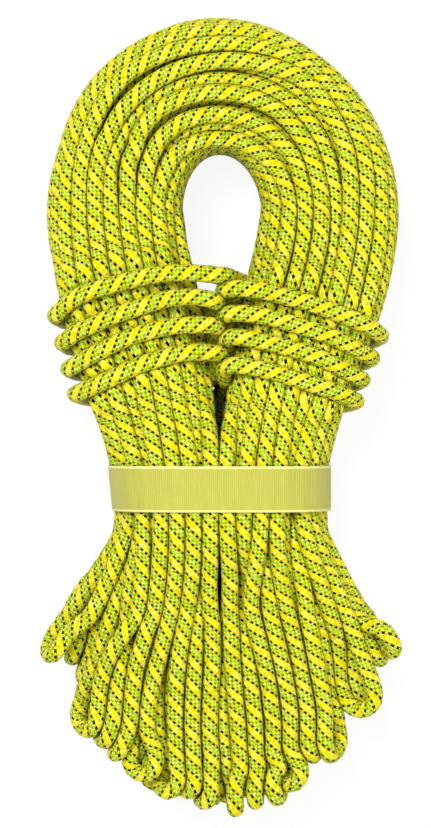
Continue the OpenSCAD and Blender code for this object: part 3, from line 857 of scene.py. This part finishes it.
def corners(x0, x1, y0, y1):
    """Map corners of faces, from the places of their sides."""
    return np.stack([x0, y0, x1, y0, x1, y1, x0, y1], -1)


def add_map(mesh, name, places):
    mesh.uv_layers.new(name=name).data.foreach_set("uv", np.array(places, np.float32).ravel())


def add_mesh(name, verts, faces, material):
    """A smooth mesh from vertices in millimetres."""
    mesh = bpy.data.meshes.new(name)
    mesh.from_pydata((verts * MM).tolist(), [], faces)
    mesh.polygons.foreach_set("use_smooth", [True] * len(mesh.polygons))
    mesh.materials.append(material)
    return mesh


def tube(name, P, N, B, start):
    """A piece of the sheath round the centreline P, with its braid map and its baking map."""
    count = len(P)
    angle = np.linspace(0, 2 * np.pi, SIDES, endpoint=False)
    verts = P[:, None] + SURFACE_R * (np.cos(angle)[None, :, None] * N[:, None]
                                      + np.sin(angle)[None, :, None] * B[:, None])
    ring, k = np.meshgrid(np.arange(count - 1), np.arange(SIDES), indexing="ij")
    nxt = (k + 1) % SIDES
    faces = np.stack([ring * SIDES + k, ring * SIDES + nxt, (ring + 1) * SIDES + nxt,
                      (ring + 1) * SIDES + k], -1).reshape(-1, 4)
    mesh = add_mesh(name, verts.reshape(-1, 3), faces.tolist(), sheath)
    u0, u1 = k / SIDES, (k + 1) / SIDES
    s = start + lengths_along(P)
    v = s * (1 / BRAID_LAY)
    add_map(mesh, "Braid", corners(u0, u1, v[ring], v[ring + 1]))
    per = math.ceil((count - 1) / STRIPS)
    strip, row = ring // per, ring % per
    x0, x1 = [(strip + STRIP_PAD + (1 - 2 * STRIP_PAD) * u) / STRIPS for u in (u0, u1)]
    add_map(mesh, "OFBake", corners(x0, x1, row / per, (row + 1) / per))
    mesh.update()
    return link(bpy.data.objects.new(name, mesh))


fine, (fine_part,) = smooth_curve(centre, [part], RING_STEP)


def swell_between_turns(P, part):
    """The leg's front strands stand up between the lashing's turns, which press them in."""
    over = P[(part == 1) & (P[:, 2] > TURN_Z)]
    first, last = over[:, 1].min() - SWELL_REACH, over[:, 1].max() + SWELL_REACH
    under = np.flatnonzero((part == 0) & (P[:, 2] > STRAND_Z) & (P[:, 1] > first) & (P[:, 1] < last))
    for chunk in np.array_split(under, 8):
        gap = np.sqrt(((P[chunk, None, :2] - over[None, :, :2]) ** 2).sum(2)).min(1)
        rise = share(gap - SWELL_NEAR, SWELL_RISE)
        P[chunk, 2] += SWELL * rise * rise * (3 - 2 * rise) * share(SWELL_END - gap, SWELL_FALL)
    return P


fine = swell_between_turns(fine, fine_part)
normals, binormals = rings_along(fine)
along_rope = lengths_along(fine)
lashing_start = int(np.argmax(fine_part == 1))
cuts = np.linspace(0, lashing_start, SECTION_COUNT + 1).astype(int).tolist() + [len(fine) - 1]
hank_nodes = frame["record"]["behaviour"]["bodies"]["hank"]
lashing_nodes = [x for x in hank_nodes if x.startswith(("lashing", "finishing", "last_end"))]
bundle_nodes = [x for x in hank_nodes if x not in lashing_nodes and x != "first_end_lead"]

for number, (a, b) in enumerate(zip(cuts[:-1], cuts[1:])):
    is_lashing = number == SECTION_COUNT
    name = "rope_lashing" if is_lashing else f"rope_section_{number + 1:02d}"
    pick = slice(a, b + 1)
    piece = tube(name, fine[pick], normals[pick], binormals[pick], along_rope[a])
    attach(piece, "hank")
    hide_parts(*(lashing_nodes if is_lashing else bundle_nodes))
    if number == 0:
        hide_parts("first_end_lead")

# ---- the free ends

TAIL_Y, TAIL_END_Y = -104, -206  # a free end's joint and its end


def free_end(body, side, along):
    """A loose end of the rope: its own sheath on the frame's cap, clear sleeve and tag."""
    y = np.arange(SEAM_Y, TAIL_END_Y - 0.1, -2.0)
    P = np.stack([np.full_like(y, side * TAIL_X), y, np.full_like(y, TAIL_Z)], 1)
    piece = tube(f"{body}_rope", P, *rings_along(P), along)
    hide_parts(f"{body}_sheath")
    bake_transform(piece)


free_end("first_end", -1, 0.0)
free_end("last_end", 1, float(along_rope[-1]))

# ---- the band

BAND_TOP, BAND_W, BAND_T = -27.5, 25.5, 1.2
BAND_HALF_W, BAND_HALF_D, BAND_Z = 61.5, 57.0, 60.0
BAND_CLEAR = 0.3
BAND_OVERLAP = 24.0
BAND_POWER = 3.0
BAND_TAPER = 2.4  # how far the band draws in at its lower left
BAND_ROWS, BAND_STEPS = 22, 420
LAP_STEPS = 14
RIPPLE, RIPPLE_LONG = 0.25, 8.8  # the strands show through the front as ripples
BINDING_W = 1.3
RIB, PICK = 1.15, 0.62  # spacing of the webbing's ribs and of its cross threads
WEBBING, WEBBING_DARK = srgb(179, 177, 78), srgb(153, 154, 55)
RIB_SHADE, SOIL, BINDING = srgb(137, 134, 46), srgb(146, 144, 54), srgb(204, 200, 124)


def signed_power(x, power):
    return np.sign(x) * np.abs(x) ** power


def band_path():
    """The middle of the webbing round the waist, from one end over the other one, and normals."""
    t = np.radians(np.linspace(270, 270 - 360, 361))
    c, s = np.cos(t), np.sin(t)
    square, flat = 2 / BAND_POWER, 2 - 2 / BAND_POWER
    point = np.stack([BAND_HALF_W * signed_power(c, square), BAND_HALF_D * signed_power(s, square)], 1)
    normal = np.stack([signed_power(c, flat) / BAND_HALF_W, signed_power(s, flat) / BAND_HALF_D], 1)
    normal /= np.linalg.norm(normal, axis=1)[:, None]
    point += (BAND_CLEAR + BAND_T / 2) * normal
    point[:, 1] += BAND_Z
    # it starts beside the middle of the back, and its last part lies under its first
    x0 = -BAND_OVERLAP / 2
    half_way = np.arange(len(t)) < len(t) // 2
    first = np.argmax((point[:, 0] < x0) & half_way)
    last = len(t) - np.argmax((point[::-1, 0] > -x0 + 6) & half_way)
    under = point[0, 1] - BAND_T - 0.02
    lap = np.stack([np.linspace(-x0 + 1, x0, LAP_STEPS), np.full(LAP_STEPS, under)], 1)
    above = np.stack([np.linspace(-x0, x0 - 1, LAP_STEPS), np.full(LAP_STEPS, point[0, 1])], 1)
    route = np.vstack([above, point[first + 1:last], lap])
    s = lengths_along(route)
    at = np.linspace(0, s[-1], BAND_STEPS)
    route = points_at(at, s, route)
    step = np.gradient(route, axis=0)
    out = np.stack([-step[:, 1], step[:, 0]], 1)
    return route, out / np.linalg.norm(out, axis=1)[:, None], float(s[-1])


def webbing_material():
    n = Nodes(bpy.data.materials.new("band_webbing"))
    x, y = n.map_xy("Weave")
    edge = n.math("ABSOLUTE", n.minus(y, BAND_W / 2))
    rib = n.math("SINE", n.times(x, 2 * math.pi / RIB))
    pick = n.math("SINE", n.times(y, 2 * math.pi / PICK))
    drawn_out = n.node("ShaderNodeCombineXYZ", {"X": n.times(x, 0.85), "Y": n.times(y, 0.06)})
    streak = n.noise(1.0, 3.0, Vector=drawn_out.outputs[0])
    soil = n.noise(28.0, 4.0)
    binding = n.math("GREATER_THAN", edge, BAND_W / 2 - BINDING_W)
    color = n.mix(streak, WEBBING, WEBBING_DARK)
    groove = n.minus(0.5, n.times(rib, 0.5))
    color = n.mix(n.times(groove, 0.32), color, RIB_SHADE)
    color = n.mix(n.times(soil, 0.22), color, SOIL)
    color = n.mix(binding, color, BINDING)
    rib_height = n.minus(0.5, n.times(binding, 0.35))
    height = n.plus(n.times(rib, rib_height), n.times(pick, 0.22))
    return n.finish(color, 0.75, height, 0.6, 0.3 * MM, Sheen_Weight=0.1, Sheen_Roughness=0.5,
                    Specular_IOR_Level=0.25)


def webbing_verts(route, normal, across):
    """Rows of points along both faces of the webbing, which is thinner at its edges."""
    verts = []
    for face in (1, -1):
        for y in across:
            edge = min(y, BAND_W - y)
            thick = BAND_T / 2 * (0.62 if edge < 0.1 else 0.92 if edge < 1.4 else 1.0)
            line = route + face * thick * normal
            left = np.clip(-line[:, 0] / BAND_HALF_W, 0, 1) ** 2
            x = line[:, 0] + BAND_TAPER * left * (y / BAND_W)
            swell = RIPPLE * np.sin(x / RIPPLE_LONG * 2 * np.pi) * (line[:, 1] > BAND_Z)
            z = line[:, 1] + swell - RIPPLE
            verts.append(np.stack([x, np.full(len(x), BAND_TOP - y), z], 1))
    return np.concatenate(verts)


def make_band():
    route, normal, length = band_path()
    across = np.linspace(0, BAND_W, BAND_ROWS + 1)
    along = np.linspace(0, length, BAND_STEPS)
    faces, places = [], []

    def add(*points, flip=False):
        """A face from points given as side of the webbing, row and step."""
        points = points[::-1] if flip else points
        faces.append([(side * (BAND_ROWS + 1) + row) * BAND_STEPS + i for side, row, i in points])
        places.extend((along[i], across[row]) for side, row, i in points)

    for i in range(BAND_STEPS - 1):
        for row in range(BAND_ROWS):
            add((0, row, i), (0, row, i + 1), (0, row + 1, i + 1), (0, row + 1, i))
            add((1, row, i), (1, row + 1, i), (1, row + 1, i + 1), (1, row, i + 1))
        for row in (0, BAND_ROWS):
            add((0, row, i), (1, row, i), (1, row, i + 1), (0, row, i + 1), flip=row > 0)
    for row in range(BAND_ROWS):
        for i in (0, BAND_STEPS - 1):
            add((0, row, i), (0, row + 1, i), (1, row + 1, i), (1, row, i), flip=i > 0)
    mesh = add_mesh("webbing_band", webbing_verts(route, normal, across), faces, webbing_material())
    add_map(mesh, "Weave", places)
    mesh.update()
    piece = link(bpy.data.objects.new("webbing_band", mesh))
    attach(piece, "band")
    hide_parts("label_band")


make_band()

# ---- the frame's own small pieces


def dress(node, material):
    mesh = bpy.data.objects[node].data
    mesh.materials.clear()
    mesh.materials.append(material)


# light and dark colour, roughness, fineness and strength of the grain
fused = plain_material("fused_nylon", srgb(188, 172, 44), srgb(96, 84, 24), 0.32, 300.0, 0.8)
clear = plain_material("shrink_sleeve", srgb(226, 234, 240), srgb(206, 218, 226), 0.16, 120.0, 0.25,
                       Alpha=0.3, Coat_Weight=0.3)
film = plain_material("end_tag", srgb(206, 206, 202), srgb(190, 190, 184), 0.4, 90.0, 0.1)
core = plain_material("core", srgb(206, 206, 198), srgb(184, 182, 172), 0.7, 900.0, 0.5)
tape = plain_material("marker_tape", srgb(198, 36, 44), srgb(150, 22, 30), 0.6, 700.0, 0.4)
thread = plain_material("band_thread", srgb(112, 112, 52), srgb(70, 70, 30), 0.6, 1500.0, 0.6)
END_PIECES = (("cap", fused), ("sleeve", clear), ("tag", film), ("core", core),
              ("marker_tape", tape))
for end in ("first_end", "last_end"):
    for node, material in END_PIECES:
        dress(f"{end}_{node}", material)
dress("band_stitches", thread)

# ---- floor and light

FLOOR_HALF = 3
FLOOR_GLOW = 0.9  # share of the floor's white that the camera sees without any shade
AMBIENT = 0.58


def make_floor():
    mesh = bpy.data.meshes.new("floor")
    h = FLOOR_HALF
    mesh.from_pydata([(-h, -h, 0), (h, -h, 0), (h, h, 0), (-h, h, 0)], [], [(0, 1, 2, 3)])
    floor = link(bpy.data.objects.new("floor", mesh))
    n = Nodes(bpy.data.materials.new("floor"))
    diffuse = n.node("ShaderNodeBsdfDiffuse", {"Color": (0.9, 0.9, 0.9, 1)})
    glow = n.node("ShaderNodeEmission", {"Color": (1, 1, 1, 1), "Strength": 1.0})
    ray = n.node("ShaderNodeLightPath").outputs
    seen = n.math("MAXIMUM", ray["Is Glossy Ray"], ray["Is Transmission Ray"])
    seen = n.math("MAXIMUM", ray["Is Camera Ray"], seen)
    mixed = n.node("ShaderNodeMixShader", {0: n.times(seen, FLOOR_GLOW),
                                           1: diffuse.outputs[0], 2: glow.outputs[0]})
    mesh.materials.append(n.show(mixed))


def make_world():
    """White to the camera, and softer as a light."""
    world = bpy.data.worlds.new("world")
    bpy.context.scene.world = world
    n = Nodes(world, "ShaderNodeOutputWorld")
    ray = n.node("ShaderNodeLightPath").outputs["Is Camera Ray"]
    ambient, white = (n.node("ShaderNodeBackground", {"Color": (1, 1, 1, 1), "Strength": strength})
                      for strength in (AMBIENT, 1.0))
    n.show(n.node("ShaderNodeMixShader", {0: ray, 1: ambient.outputs[0], 2: white.outputs[0]}))


make_floor()
make_world()
area_light("key", (-0.38, 0.5, 1.85), (0, 0, 0.05), 0.7, 43)
area_light("fill", (0.8, -0.6, 1.6), (0, 0, 0.05), 1.2, 16)
bpy.context.scene.view_settings.view_transform = "Standard"
